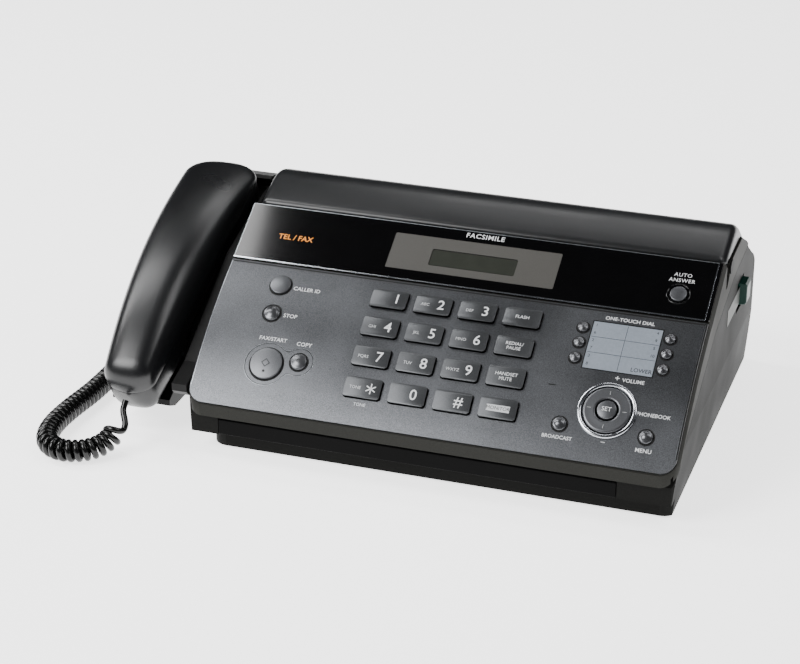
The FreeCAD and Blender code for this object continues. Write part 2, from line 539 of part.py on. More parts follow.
# ---------------------------------------------------------------- handset
# local frame: x across, y along the handset from the mouth end, z up from its crown line
SEAM = -11.5
hand_top_side = prism("hand_top_side", "YZ_Plane", [
    (-3.4, SEAM), (-3.8, -5.0), (1.0, 0.6), (12.0, 6.2), ("arc", (80.0, 13.6)), (152.0, 1.6), (166.0, -3.0),
    (172.8, -6.0), (174.9, SEAM)], -25.0, 50.0)
hand_bottom_side = prism("hand_bottom_side", "YZ_Plane", [
    (-3.2, SEAM), (174.7, SEAM), (173.0, -26.0), (167.0, -29.5), (122.0, -29.5), (111.0, -20.5),
    (54.0, -20.5), (41.0, MOUTH_FLOOR), (10.0, MOUTH_FLOOR), (-2.0, -24.0)], -25.0, 50.0)
plan_points = [(-9.0, -3.4), ("arc", (0.0, -4.4)), (9.0, -3.4), ("arc", (14.6, 1.6)), (16.8, 12.0),
               (20.0, 48.0), (22.0, 90.0), (23.2, 158.0), ("arc", (20.6, 170.4)), (11.0, 175.0),
               (-11.0, 175.0), ("arc", (-20.6, 170.4)), (-23.2, 158.0), (-22.0, 90.0), (-20.0, 48.0),
               (-16.8, 12.0), ("arc", (-14.6, 1.6))]
hand_plan_top = prism("hand_plan_top", "XY_Plane", plan_points, -40, 60)
hand_plan_bottom = prism("hand_plan_bottom", "XY_Plane", plan_points, -40, 60)
top_solid = common("top_solid", [hand_top_side, hand_plan_top])
finish(top_solid, "handset_top_shell", HANDSET)
bottom_solid = common("bottom_solid", [hand_bottom_side, hand_plan_bottom])
boot_bore = box("boot_bore", (-4.6, -8, -24), (4.6, 9.0, -15))
finish(cut("bottom_cut", bottom_solid, boot_bore), "handset_bottom_shell", HANDSET)

# ---------------------------------------------------------------- curly cord
CORD_R = size("cord_coil_radius")
CORD_ROUTE = [(-177.0, -3.0, 27.0), (-177.0, -10.0, 20.0), (-179.5, -20.0, 9.5), (-188.0, -31.0, 7.0),
              (-203.0, -36.5, 7.0), (-216.0, -29.0, 7.0), (-221.5, -12.0, 7.0), (-221.0, 11.0, 7.0),
              (-217.5, 36.0, 7.0), (-216.8, 58.0, 7.2), (-215.0, 76.0, 8.8), (-210.0, 88.0, 12.5),
              (-202.5, 94.0, 17.0)]


def tangent_route(points, ratio=0.45):
    """Straight runs joined by tangent arcs, as large as the shorter run beside each corner allows."""
    pts = [Vector(*p) for p in points]
    edges, radii, start = [], [], pts[0]
    for a, b, c in zip(pts, pts[1:], pts[2:]):
        before, after = (a - b).normalize(), (c - b).normalize()
        turn = math.pi - before.getAngle(after)
        reach = ratio * min((a - b).Length, (c - b).Length)
        radius = reach / math.tan(turn / 2)
        radii.append(radius)
        enter, leave = b + before * reach, b + after * reach
        centre = b + (before + after).normalize() * (radius / math.cos(turn / 2))
        middle = centre + (b - centre).normalize() * radius
        edges += [Part.LineSegment(start, enter).toShape(), Part.Arc(enter, middle, leave).toShape()]
        start = leave
    edges.append(Part.LineSegment(start, pts[-1]).toShape())
    return Part.Wire(edges), radii


def tube(points, radius):
    wire, radii = tangent_route(points)
    direction = (Vector(*points[1]) - Vector(*points[0])).normalize()
    ring = Part.Wire([Part.makeCircle(radius, Vector(*points[0]), direction)])
    shape = wire.makePipeShell([ring], True, True)
    print("cord radii", [round(r, 1) for r in radii])
    straight_volume = math.pi * radius ** 2 * wire.Length
    print("cord length %.1f, volume ratio %.4f" % (wire.Length, shape.Volume / straight_volume))
    return shape


cord = doc.addObject("Part::Feature", "cord_tube")
cord.Shape = tube(CORD_ROUTE, CORD_R)
finish(cord, "handset_cord")

plug_blank = box("plug_blank", (-201.5, 91.2, 14.7), (-188.0, 96.8, 20.3))
finish(plug_blank, "base_plug")

doc.recompute()

# ---------------------------------------------------------------- checks and files
for obj in doc.Objects:
    if "Invalid" in obj.State or "Error" in obj.State:
        raise RuntimeError("failed object %s: %s" % (obj.Label, obj.State))
os.makedirs("parts", exist_ok=True)
for obj in PARTS:
    shape = obj.Shape
    if shape.isNull() or not shape.isValid() or shape.Volume <= 0:
        raise RuntimeError("bad shape " + obj.Label)
    shape.exportStep(os.path.join("parts", obj.Label + ".step"))
whole = Part.makeCompound([obj.Shape for obj in PARTS])
print(len(PARTS), "sub-parts", whole.BoundBox)
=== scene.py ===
import math

import bmesh
import bpy
from mathutils import Matrix, Vector


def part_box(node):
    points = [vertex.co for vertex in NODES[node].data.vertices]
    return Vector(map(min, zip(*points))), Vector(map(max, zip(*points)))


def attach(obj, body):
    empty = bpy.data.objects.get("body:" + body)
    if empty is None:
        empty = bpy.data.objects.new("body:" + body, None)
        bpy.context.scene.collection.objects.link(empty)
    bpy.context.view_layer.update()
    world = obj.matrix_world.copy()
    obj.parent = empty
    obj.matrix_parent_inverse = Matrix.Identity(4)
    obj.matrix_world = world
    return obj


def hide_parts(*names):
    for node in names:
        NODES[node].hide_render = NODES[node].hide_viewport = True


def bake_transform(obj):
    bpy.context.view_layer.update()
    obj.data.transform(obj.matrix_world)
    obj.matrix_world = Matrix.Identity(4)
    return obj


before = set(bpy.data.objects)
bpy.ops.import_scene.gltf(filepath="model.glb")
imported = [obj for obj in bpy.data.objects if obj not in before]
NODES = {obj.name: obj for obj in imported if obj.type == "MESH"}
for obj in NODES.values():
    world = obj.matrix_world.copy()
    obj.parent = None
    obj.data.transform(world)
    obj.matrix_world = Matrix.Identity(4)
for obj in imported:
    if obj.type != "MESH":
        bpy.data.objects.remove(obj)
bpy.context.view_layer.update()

MM = 0.001

# ---------------------------------------------------------------- machine frame
# Machine frame, in millimetres: X from the middle of the key plate, Y back from the plate's front
# edge, Z up from the desk.
plate_low, plate_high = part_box("key_plate")
ORIGIN = Vector(((plate_low.x + plate_high.x) / 2, plate_low.y, 0.0))


def machine(x, y, z):
    """A spot of the machine frame, given in millimetres, as a place in the shared frame in metres."""
    return ORIGIN + Vector((x, y, z)) * MM


PLATE_RADIUS = 280.0
PLATE_ARC = 93.5
PLATE_FRONT_HEIGHT = 32.3
PLATE_FRONT_SLOPE = 46.8
HALF_ANGLE = PLATE_ARC / PLATE_RADIUS / 2
CHORD = 2 * PLATE_RADIUS * math.sin(HALF_ANGLE)
PANEL_SLOPE = math.radians(PLATE_FRONT_SLOPE) - HALF_ANGLE
ARC_DROP = PLATE_RADIUS * math.cos(HALF_ANGLE)
BEZEL_SLOPE = math.radians(30.5)
BEZEL_Y, BEZEL_Z = 75.9, 89.5
KEY_COLUMNS, KEY_ROWS = (-39.7, -13.6, 12.5, 38.6), (21.9, 41.1, 60.3, 79.5)
KEY_RISE, BUTTON_RISE = 1.7, 1.3


def plate_place(x, arc, rise=0.0):
    """Matrix of a spot on the curved key plate: local X across, Y up the plate, Z out of it."""
    angle = arc / PLATE_RADIUS - HALF_ANGLE
    radius = PLATE_RADIUS + rise
    u, n = CHORD / 2 + radius * math.sin(angle), radius * math.cos(angle) - ARC_DROP
    c, s = math.cos(PANEL_SLOPE), math.sin(PANEL_SLOPE)
    place = machine(x, u * c - n * s, PLATE_FRONT_HEIGHT + u * s + n * c)
    return Matrix.Translation(place) @ Matrix.Rotation(PANEL_SLOPE - angle, 4, "X")


def bezel_place(x, along, rise=0.0):
    """Matrix of a spot on the flat bezel: local X across, Y up the slope, Z out of it."""
    c, s = math.cos(BEZEL_SLOPE), math.sin(BEZEL_SLOPE)
    place = machine(x, BEZEL_Y + along * c - rise * s, BEZEL_Z + along * s + rise * c)
    return Matrix.Translation(place) @ Matrix.Rotation(BEZEL_SLOPE, 4, "X")


# ---------------------------------------------------------------- camera
CAMERA_AZIMUTH, CAMERA_ELEVATION = 18.548, 25.468
FOCAL_PIXELS, FRAME_WIDTH, SENSOR = 2304.8, 800, 36.0
camera_data = bpy.data.cameras.new("camera")
camera_data.sensor_width = SENSOR
camera_data.lens = FOCAL_PIXELS * SENSOR / FRAME_WIDTH
camera = bpy.data.objects.new("camera", camera_data)
bpy.context.scene.collection.objects.link(camera)
camera.location = machine(343.7, -1062.8, 627.8)
camera.rotation_euler = (math.radians(90 - CAMERA_ELEVATION), 0, math.radians(CAMERA_AZIMUTH))
bpy.context.scene.camera = camera


# ---------------------------------------------------------------- materials
DRIFT_SCALE, ROUGHNESS_VARY, BUMP_DISTANCE = 18.0, 0.12, 0.0002


def material(name, color, roughness, metallic=0.0, vary=0.15, scale=900.0, bump=0.02, coat=0.0, gloss=0.5):
    """Procedural finish: a fine grain and a slow drift in colour and roughness, with a grain bump."""
    m = bpy.data.materials.new(name)
    m.use_nodes = True
    tree = m.node_tree
    shader = tree.nodes["Principled BSDF"]
    shader.inputs["Metallic"].default_value = metallic
    shader.inputs["Coat Weight"].default_value = coat
    shader.inputs["Coat Roughness"].default_value = 0.08
    shader.inputs["Specular IOR Level"].default_value = gloss
    coords = tree.nodes.new("ShaderNodeTexCoord")

    def noise(size, detail):
        n = tree.nodes.new("ShaderNodeTexNoise")
        n.inputs["Scale"].default_value = size
        n.inputs["Detail"].default_value = detail
        tree.links.new(coords.outputs["Object"], n.inputs["Vector"])
        return n.outputs["Fac"]

    grain, drift = noise(scale, 3.0), noise(DRIFT_SCALE, 2.0)
    blend = tree.nodes.new("ShaderNodeMath")
    blend.operation = "MULTIPLY_ADD"
    blend.inputs[1].default_value = 0.7
    tree.links.new(grain, blend.inputs[0])
    low = tree.nodes.new("ShaderNodeMath")
    low.operation = "MULTIPLY"
    low.inputs[1].default_value = 0.3
    tree.links.new(drift, low.inputs[0])
    tree.links.new(low.outputs[0], blend.inputs[2])
    ramp = tree.nodes.new("ShaderNodeValToRGB")
    ramp.color_ramp.elements[0].position = 0.3
    ramp.color_ramp.elements[1].position = 0.7
    ramp.color_ramp.elements[0].color = (*[c * (1 - vary) for c in color], 1)
    ramp.color_ramp.elements[1].color = (*[min(1.0, c * (1 + vary)) for c in color], 1)
    tree.links.new(blend.outputs[0], ramp.inputs["Fac"])
    tree.links.new(ramp.outputs["Color"], shader.inputs["Base Color"])
    rough = tree.nodes.new("ShaderNodeMapRange")
    rough.inputs["From Min"].default_value = 0.3
    rough.inputs["From Max"].default_value = 0.7
    rough.inputs["To Min"].default_value = max(0.02, roughness * (1 - ROUGHNESS_VARY))
    rough.inputs["To Max"].default_value = min(1.0, roughness * (1 + ROUGHNESS_VARY))
    tree.links.new(drift, rough.inputs["Value"])
    tree.links.new(rough.outputs[0], shader.inputs["Roughness"])
    if bump:
        node = tree.nodes.new("ShaderNodeBump")
        node.inputs["Strength"].default_value = bump
        node.inputs["Distance"].default_value = BUMP_DISTANCE
        tree.links.new(grain, node.inputs["Height"])
        tree.links.new(node.outputs["Normal"], shader.inputs["Normal"])
    return m


def keycap_material(name, top_color, highlight_rim_color):
    """Key cap: metallic face, a painted highlight on the rounded rim and painted shade on the walls, told
    apart by the surface's slope.
    """
    m = material(name, top_color, 0.36, metallic=0.75, vary=0.3, scale=2600, bump=0.1)
    tree = m.node_tree
    shader = tree.nodes["Principled BSDF"]
    face_color = shader.inputs["Base Color"].links[0].from_socket
    geometry = tree.nodes.new("ShaderNodeNewGeometry")
    facing = tree.nodes.new("ShaderNodeVectorMath")
    facing.operation = "DOT_PRODUCT"
    facing.inputs[1].default_value = (0, -math.sin(PANEL_SLOPE), math.cos(PANEL_SLOPE))
    tree.links.new(geometry.outputs["Normal"], facing.inputs[0])
    last = face_color
    # tilted rim faces take the painted highlight colour; steep walls take near-black painted shade
    for low, high, color in ((0.9, 0.97, highlight_rim_color), (0.35, 0.55, (0.004, 0.004, 0.004))):
        step = tree.nodes.new("ShaderNodeMapRange")
        step.inputs["From Min"].default_value, step.inputs["From Max"].default_value = low, high
        tree.links.new(facing.outputs["Value"], step.inputs["Value"])
        mix = tree.nodes.new("ShaderNodeMix")
        mix.data_type = "RGBA"
        mix.inputs[6].default_value = (*color, 1)
        tree.links.new(step.outputs["Result"], mix.inputs[0])
        tree.links.new(last, mix.inputs[7])
        last = mix.outputs[2]
    tree.links.new(last, shader.inputs["Base Color"])
    return m


MATERIALS = {
    "panel": material("panel_metallic", (0.078, 0.081, 0.087), 0.34, metallic=0.85, vary=0.65,
                      scale=2600, bump=0.12),
    "case": material("case_grey", (0.02, 0.02, 0.0178), 0.55, vary=0.25, scale=2000, bump=0.1,
                     gloss=0.06),
    "lower": material("case_dark", (0.006, 0.006, 0.0055), 0.55, vary=0.25, scale=1500, bump=0.15,
                      gloss=0.05),
    "guide": material("guide_black", (0.0025, 0.0025, 0.0025), 0.5, scale=1500, bump=0.12, gloss=0.04),
    "cover": material("cover_black", (0.009, 0.0095, 0.0105), 0.34, metallic=0.15, vary=0.25,
                      scale=2200, bump=0.14),
    "cradle": material("cradle_black", (0.003, 0.003, 0.003), 0.42, vary=0.25, scale=1800, bump=0.14,
                       gloss=0.15),
    "bezel": material("gloss_black", (0.0015, 0.0015, 0.0017), 0.07, vary=0.2, scale=60, bump=0.0,
                      gloss=0.35),
    "display": material("display_grey", (0.062, 0.06, 0.055), 0.42, vary=0.1, scale=1800, bump=0.08,
                        gloss=0.2),
    "chrome": material("chrome_trim", (0.6, 0.62, 0.66), 0.17, metallic=1.0, vary=0.06, scale=300,
                       bump=0.0),
    # satin trim: the real fine trim, and painted highlight lines along plate and groove edges
    "trim": material("satin_trim_and_highlight_lines", (0.34, 0.36, 0.38), 0.3, metallic=1.0, vary=0.1, scale=900, bump=0.0),
    # key caps: the second colour is a painted highlight for the rims
    "key": keycap_material("key_caps", (0.06, 0.0625, 0.066), (0.2, 0.205, 0.21)),
    "button": material("round_buttons", (0.1, 0.103, 0.11), 0.34, metallic=0.8, vary=0.2, scale=2400,
                       bump=0.06),
    "gloss_button": material("domed_buttons", (0.09, 0.092, 0.098), 0.28, metallic=0.8, vary=0.2,
                             scale=3000, bump=0.0),
    "handset": material("handset_black", (0.005, 0.0052, 0.006), 0.31, metallic=0.08, vary=0.35,
                        scale=1900, bump=0.22),
    "cord": material("cord_black", (0.003, 0.003, 0.003), 0.22, vary=0.2, scale=700, bump=0.03,
                     gloss=0.35),
    "lever": material("lever_green", (0.002, 0.028, 0.02), 0.35, scale=1500, bump=0.08, gloss=0.3),
    "paper": material("thermal_paper", (0.78, 0.78, 0.75), 0.6, vary=0.03, scale=1200, bump=0.08),
    "rubber": material("roller_rubber", (0.03, 0.03, 0.03), 0.7, scale=1600, bump=0.2),
    "gear": material("gear_plastic", (0.7, 0.68, 0.62), 0.45, vary=0.05, scale=800, bump=0.05),
    "zinc": material("zinc_plate", (0.55, 0.55, 0.54), 0.35, metallic=1.0, vary=0.1, scale=500,
                     bump=0.05),
    "board": material("board_green", (0.015, 0.12, 0.05), 0.35, vary=0.2, scale=400, bump=0.05),
    "foot": material("foot_rubber", (0.012, 0.012, 0.012), 0.8, scale=1500, bump=0.25),
    "plug": material("plug_smoke", (0.03, 0.03, 0.03), 0.2, scale=600, bump=0.02),
    "ink": material("legend_ink", (0.66, 0.67, 0.68), 0.5, vary=0.05, scale=1500, bump=0.05),
    "dim_ink": material("legend_dim", (0.5, 0.51, 0.52), 0.5, vary=0.05, scale=1500, bump=0.05),
    "orange": material("legend_orange", (0.8, 0.27, 0.02), 0.45, vary=0.05, scale=1500, bump=0.05),
    "card": material("index_card", (0.41, 0.46, 0.53), 0.38, vary=0.07, scale=700, bump=0.03, coat=0.1),
    "card_line": material("card_lines", (0.03, 0.033, 0.04), 0.5, vary=0.05, scale=900, bump=0.03),
    "label": material("side_label", (0.1, 0.105, 0.1), 0.5, vary=0.15, scale=500, bump=0.04, gloss=0.2),
    "glass": material("display_glass", (0.026, 0.028, 0.023), 0.16, vary=0.12, scale=90, bump=0.0,
                      gloss=0.3),
    # dark finish: printed marks, and painted shade in grooves, gaps, holes and slots
    "dark": material("dark_print_and_shade", (0.004, 0.004, 0.004), 0.6, scale=1500, bump=0.05),
}

NODE_FINISH = {
    "key_plate": "panel", "nav_ring": "chrome", "trim_strips": "chrome", "display_bezel": "bezel",
    "display_module": "display", "upper_case": "case", "lower_case": "lower", "front_guide": "guide",
    "paper_cover": "cover", "cover_pins": "guide", "cover_lever": "lever", "paper_roll": "paper",
    "platen_roller": "rubber", "feed_roller": "rubber", "motor_pinion": "gear", "drive_motor": "zinc",
    "roller_bearings": "gear", "thermal_head": "zinc", "image_sensor": "guide", "panel_board": "board",
    "main_board": "board", "feet": "foot", "case_screws": "zinc", "handset_cradle": "cradle",
    "hook_switch": "guide", "handset_top_shell": "handset", "handset_bottom_shell": "handset",
    "handset_cord": "cord", "base_plug": "plug",
}
SMOOTH_AS_MADE = {"key_plate", "paper_roll", "platen_roller", "feed_roller"}
EDGE_WIDTH = {"upper_case": 0.3, "lower_case": 0.8, "paper_cover": 1.2, "handset_cradle": 1.2,
              "key_plate": 0.25, "display_bezel": 0.2, "trim_strips": 0.25, "nav_ring": 0.35,
              "cover_lever": 0.6}
for name, node in NODES.items():
    finish_name = NODE_FINISH.get(name, "key" if name.startswith("key_") else "button")
    node.data.materials.clear()
    node.data.materials.append(MATERIALS[finish_name])
    if name in SMOOTH_AS_MADE:
        continue
    weld = node.modifiers.new("weld", "WELD")
    weld.merge_threshold = 1e-6
    bevel = node.modifiers.new("edge", "BEVEL")
    bevel.width = EDGE_WIDTH.get(name, 0.45) * MM
    bevel.segments = 3
    bevel.limit_method = "ANGLE"
    bevel.angle_limit = math.radians(38)
    bevel.harden_normals = True


# ---------------------------------------------------------------- mesh helpers
def link(obj):
    bpy.context.scene.collection.objects.link(obj)
    return obj


def mesh_piece(name, bm, finish_name, body="machine", smooth=True):
    """Turns a bmesh into a finished piece that rides on a body."""
    data = bpy.data.meshes.new(name)
    bm.to_mesh(data)
    bm.free()
    obj = link(bpy.data.objects.new(name, data))
    data.materials.append(MATERIALS[finish_name])
    for polygon in data.polygons:
        polygon.use_smooth = smooth
    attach(obj, body)
    return obj


# ---------------------------------------------------------------- legends
LEGENDS = {}
INK_THICKNESS = 0.06


TEXT_SIZE_OF_HEIGHT = 1.38


def write(group, text, place, height, finish_name="ink", body="machine", bold=0.0, spacing=1.0):
    """Adds a centred line of text, height in millimetres, to the legends of one body."""
    curve = bpy.data.curves.new("text", "FONT")
    curve.body = text
    curve.align_x, curve.align_y = "CENTER", "CENTER"
    curve.size = height * TEXT_SIZE_OF_HEIGHT * MM
    curve.space_character = spacing
    curve.offset = bold * MM
    curve.extrude = INK_THICKNESS / 2 * MM
    curve.resolution_u = 3
    obj = link(bpy.data.objects.new("text", curve))
    bpy.context.view_layer.update()
    data = bpy.data.meshes.new_from_object(obj)
    data.transform(place)
    bpy.data.objects.remove(obj)
    add_legend(group, data, finish_name, body)


def add_legend(group, data, finish_name, body="machine"):
    """Joins a small mesh to its group; each group becomes one piece on one body."""
    bm, _, finishes = LEGENDS.setdefault(group, (bmesh.new(), body, []))
    if finish_name not in finishes:
        finishes.append(finish_name)
    index = finishes.index(finish_name)
    for polygon in data.polygons:
        polygon.material_index = index
    bm.from_mesh(data)
    bpy.data.meshes.remove(data)


def flat_shape(group, points, place, finish_name="ink", body="machine", thick=INK_THICKNESS):
    """A thin flat outline, in millimetres in its local frame, laid on the surface."""
    bm = bmesh.new()
    top = [bm.verts.new((x * MM, y * MM, thick / 2 * MM)) for x, y in points]
    bottom = [bm.verts.new((x * MM, y * MM, -thick / 2 * MM)) for x, y in points]
    bm.faces.new(top)
    bm.faces.new(bottom[::-1])
    for i in range(len(points)):
        j = (i + 1) % len(points)
        bm.faces.new((top[i], bottom[i], bottom[j], top[j]))
    bmesh.ops.recalc_face_normals(bm, faces=bm.faces)
    data = bpy.data.meshes.new("shape")
    bm.to_mesh(data)
    bm.free()
    data.transform(place)
    add_legend(group, data, finish_name, body)


def circle_points(radius, count=16):
    angles = [2 * math.pi * i / count for i in range(count)]
    return [(radius * math.cos(angle), radius * math.sin(angle)) for angle in angles]


def key_spot(column, row, dx=0.0, dy=0.0):
    return plate_place(KEY_COLUMNS[column] + dx, KEY_ROWS[row] + dy, KEY_RISE + 0.02)


KEY_LEGENDS = {     # key: column, row, small letters, digit
    "one": (0, 3, "", "1"), "two": (1, 3, "ABC", "2"), "three": (2, 3, "DEF", "3"),
    "four": (0, 2, "GHI", "4"), "five": (1, 2, "JKL", "5"), "six": (2, 2, "MNO", "6"),
    "seven": (0, 1, "PQRS", "7"), "eight": (1, 1, "TUV", "8"), "nine": (2, 1, "WXYZ", "9"),
    "zero": (1, 0, "", "0"), "hash": (2, 0, "", "#"),
}
for key, (column, row, letters, digit) in KEY_LEGENDS.items():
    body, group = "key_" + key, "legend_" + key
    digit_shift = 4.6 if letters or key == "one" else 3.4
    write(group, digit, key_spot(column, row, digit_shift), 6.4, "ink", body, 0.05)
    if letters:
        write(group, letters, key_spot(column, row, -4.6, -0.4), 1.9, "dim_ink", body)
FUNCTION_KEYS = {"flash": (3, 3, ["FLASH"]), "redial": (3, 2, ["REDIAL/", "PAUSE"]),
                 "mute": (3, 1, ["HANDSET", "MUTE"]), "monitor": (3, 0, ["MONITOR"])}
for key, (column, row, lines) in FUNCTION_KEYS.items():
    for i, line in enumerate(lines):
        dy = (len(lines) - 1) * 1.45 - i * 2.9
        finish_name = "dark" if key == "monitor" else "ink"
        write("legend_" + key, line, key_spot(column, row, 0, dy), 2.1, finish_name, "key_" + key)
LABEL_BOX = [(-6.6, -1.9), (6.6, -1.9), (6.6, 1.9), (-6.6, 1.9)]
flat_shape("legend_monitor", LABEL_BOX, key_spot(3, 0, 0) @ Matrix.Translation((0, 0, -0.05 * MM)),
           "dim_ink", "key_monitor")

write("legend_tone", "TONE", key_spot(0, 0, -4.4, -0.2), 1.8, "dim_ink", "key_tone")
for i in range(3):
    bar = [(-3.1, -0.32), (3.1, -0.32), (3.1, 0.32), (-3.1, 0.32)]
    spin = key_spot(0, 0, 4.8) @ Matrix.Rotation(math.radians(60 * i + 30), 4, "Z")
    flat_shape("legend_tone", bar, spin, "ink", "key_tone")

PLATE_BOLD = 0.025
PLATE_LEGENDS = [   # text, x, arc, height, finish
    ("CALLER ID", -89.6, 78.4, 2.5, "ink"), ("STOP", -94.0, 59.6, 2.5, "ink"),
    ("FAX/START", -99.6, 43.6, 2.4, "ink"), ("COPY", -80.6, 42.9, 2.5, "ink"),
    ("TONE", -39.7, 12.4, 1.9, "dim_ink"), ("ONE-TOUCH DIAL", 98.0, 87.9, 2.4, "ink"),
    ("+", 99.2, 50.4, 3.6, "ink"), ("VOLUME", 108.2, 49.9, 2.3, "ink"),
    ("PHONEBOOK", 123.2, 31.6, 2.2, "ink"),
    ("BROADCAST", 73.7, 11.4, 2.1, "ink"), ("MENU", 121.7, 11.0, 2.4, "ink"),
    ("LOWER", 111.0, 56.8, 2.5, "card_line"),
]
for text, x, arc, height, finish_name in PLATE_LEGENDS:
    write("plate_legends", text, plate_place(x, arc, 0.32 if finish_name == "card_line" else 0.02), height,
          finish_name, bold=PLATE_BOLD)
write("bezel_legends", "AUTO", bezel_place(120.2, 28.2, 0.02), 2.5, "ink", spacing=1.1)
write("bezel_legends", "ANSWER", bezel_place(120.2, 24.4, 0.02), 2.5, "ink", spacing=1.1)
write("bezel_legends", "FACSIMILE", bezel_place(3.0, 36.2, 0.02), 3.3, "ink", bold=0.05, spacing=1.12)
write("bezel_legends", "TEL / FAX", bezel_place(-107.8, 18.2, 0.02), 3.6, "orange", bold=0.06)


def plate_ring(group, x, arc, radius, width, finish_name, rise=0.03, count=72):
    """A flat ring on the key plate."""
    bm = bmesh.new()
    rows = []
    for i in range(count + 1):
        angle = 2 * math.pi * i / count
        row = []
        for r in (radius - width / 2, radius + width / 2):
            spot = plate_place(x + r * math.cos(angle), arc + r * math.sin(angle), rise)
            row.append(bm.verts.new(spot.translation))
        rows.append(row)
    for a, b in zip(rows, rows[1:]):
        bm.faces.new((a[0], a[1], b[1], b[0]))
    bmesh.ops.solidify(bm, geom=bm.faces[:], thickness=0.05 * MM)
    bmesh.ops.recalc_face_normals(bm, faces=bm.faces)
    data = bpy.data.meshes.new("arc")
    bm.to_mesh(data)
    bm.free()
    add_legend(group, data, finish_name)


def plate_sheet(group, x0, x1, arc0, arc1, finish_name, rise, thick=0.2, rows=10):
    """A thin sheet that follows the plate's curve."""
    bm = bmesh.new()
    grid = []
    for i in range(rows + 1):
        arc = arc0 + (arc1 - arc0) * i / rows
        grid.append([bm.verts.new(plate_place(x, arc, rise).translation) for x in (x0, x1)])
    for a, b in zip(grid, grid[1:]):
        bm.faces.new((a[0], a[1], b[1], b[0]))
    bmesh.ops.solidify(bm, geom=bm.faces[:], thickness=thick * MM)
    bmesh.ops.recalc_face_normals(bm, faces=bm.faces)
    data = bpy.data.meshes.new("sheet")
    bm.to_mesh(data)
    bm.free()
    add_legend(group, data, finish_name)


# index card beside the one-touch buttons: pale insert with ruled cells
CARD_X0, CARD_X1, CARD_LOW, CARD_HIGH = 78.6, 117.4, 54.2, 84.5
plate_sheet("index_card", CARD_X0, CARD_X1, CARD_LOW, CARD_HIGH, "card", 0.3, 0.3)
CARD_ROW, LINE_HALF = (CARD_HIGH - CARD_LOW) / 3, 0.13
plate_sheet("card_frame", CARD_X0 - 0.7, CARD_X1 + 0.7, CARD_LOW - 0.5, CARD_HIGH + 0.9, "dark", 0.12, 0.1)
for i in (1, 2):
    arc = CARD_LOW + i * CARD_ROW
    plate_sheet("card_lines", CARD_X0 + 0.4, CARD_X1 - 0.4, arc - LINE_HALF, arc + LINE_HALF, "card_line",
                0.35, 0.04, 1)
card_middle = (CARD_X0 + CARD_X1) / 2
plate_sheet("card_lines", card_middle - LINE_HALF, card_middle + LINE_HALF, CARD_LOW + 0.5, CARD_HIGH - 0.5,
            "card_line", 0.35, 0.04)
for i, (upper, lower) in enumerate((("1", "6"), ("2", "7"), ("3", "8"), ("4", "9"), ("5", "10"))):
    column, row = i // 3, i % 3
    x = (CARD_X0 + 2.0) if column == 0 else (CARD_X1 - 2.4)
    top_arc = CARD_HIGH - row * CARD_ROW
    write("card_lines", upper, plate_place(x, top_arc - 2.4, 0.37), 1.9, "card_line")
    write("card_lines", lower, plate_place(x, top_arc - 7.4, 0.37), 1.9, "card_line")

# keyhole groove round start and copy: a painted shade line with a painted highlight line just outside it
START_X, START_ARC, START_RING = -99.3, 28.1, 12.8
COPY_X, COPY_ARC, COPY_RING = -80.8, 31.9, 8.3
WAIST_BLEND, WAIST_SHARE = 5.0, 0.6


def keyhole(angle):
    """Distance from the waist to the groove that joins the rings round start and copy."""
    middle = (START_X + (COPY_X - START_X) * WAIST_SHARE, START_ARC + (COPY_ARC - START_ARC) * WAIST_SHARE)
    inner, outer = 0.0, 40.0
    while outer - inner > 0.01:
        r = (inner + outer) / 2
        x, arc = middle[0] + r * math.cos(angle), middle[1] + r * math.sin(angle)
        start_gap = math.hypot(x - START_X, arc - START_ARC) - START_RING
        copy_gap = math.hypot(x - COPY_X, arc - COPY_ARC) - COPY_RING
        mix = max(0.0, 1 - abs(start_gap - copy_gap) / WAIST_BLEND)
        if min(start_gap, copy_gap) - mix * mix * WAIST_BLEND / 4 < 0:
            inner = r
        else:
            outer = r
    return middle, inner


for width, shift, finish_name, rise in ((0.4, 0.0, "dark", 0.03), (0.3, 0.36, "trim", 0.04)):
    groove_bm, groove_rows = bmesh.new(), []
    for i in range(121):
        angle = 2 * math.pi * i / 120
        (mx, marc), reach = keyhole(angle)
        row = []
        for r in (reach + shift - width / 2, reach + shift + width / 2):
            spot = plate_place(mx + r * math.cos(angle), marc + r * math.sin(angle), rise)
            row.append(groove_bm.verts.new(spot.translation))
        groove_rows.append(row)
    for a, b in zip(groove_rows, groove_rows[1:]):
        groove_bm.faces.new((a[0], a[1], b[1], b[0]))
    bmesh.ops.solidify(groove_bm, geom=groove_bm.faces[:], thickness=0.04 * MM)
    bmesh.ops.recalc_face_normals(groove_bm, faces=groove_bm.faces)
    groove_data = bpy.data.meshes.new("groove")
    groove_bm.to_mesh(groove_data)
    groove_bm.free()
    add_legend("start_groove_shade_and_highlight", groove_data, finish_name)

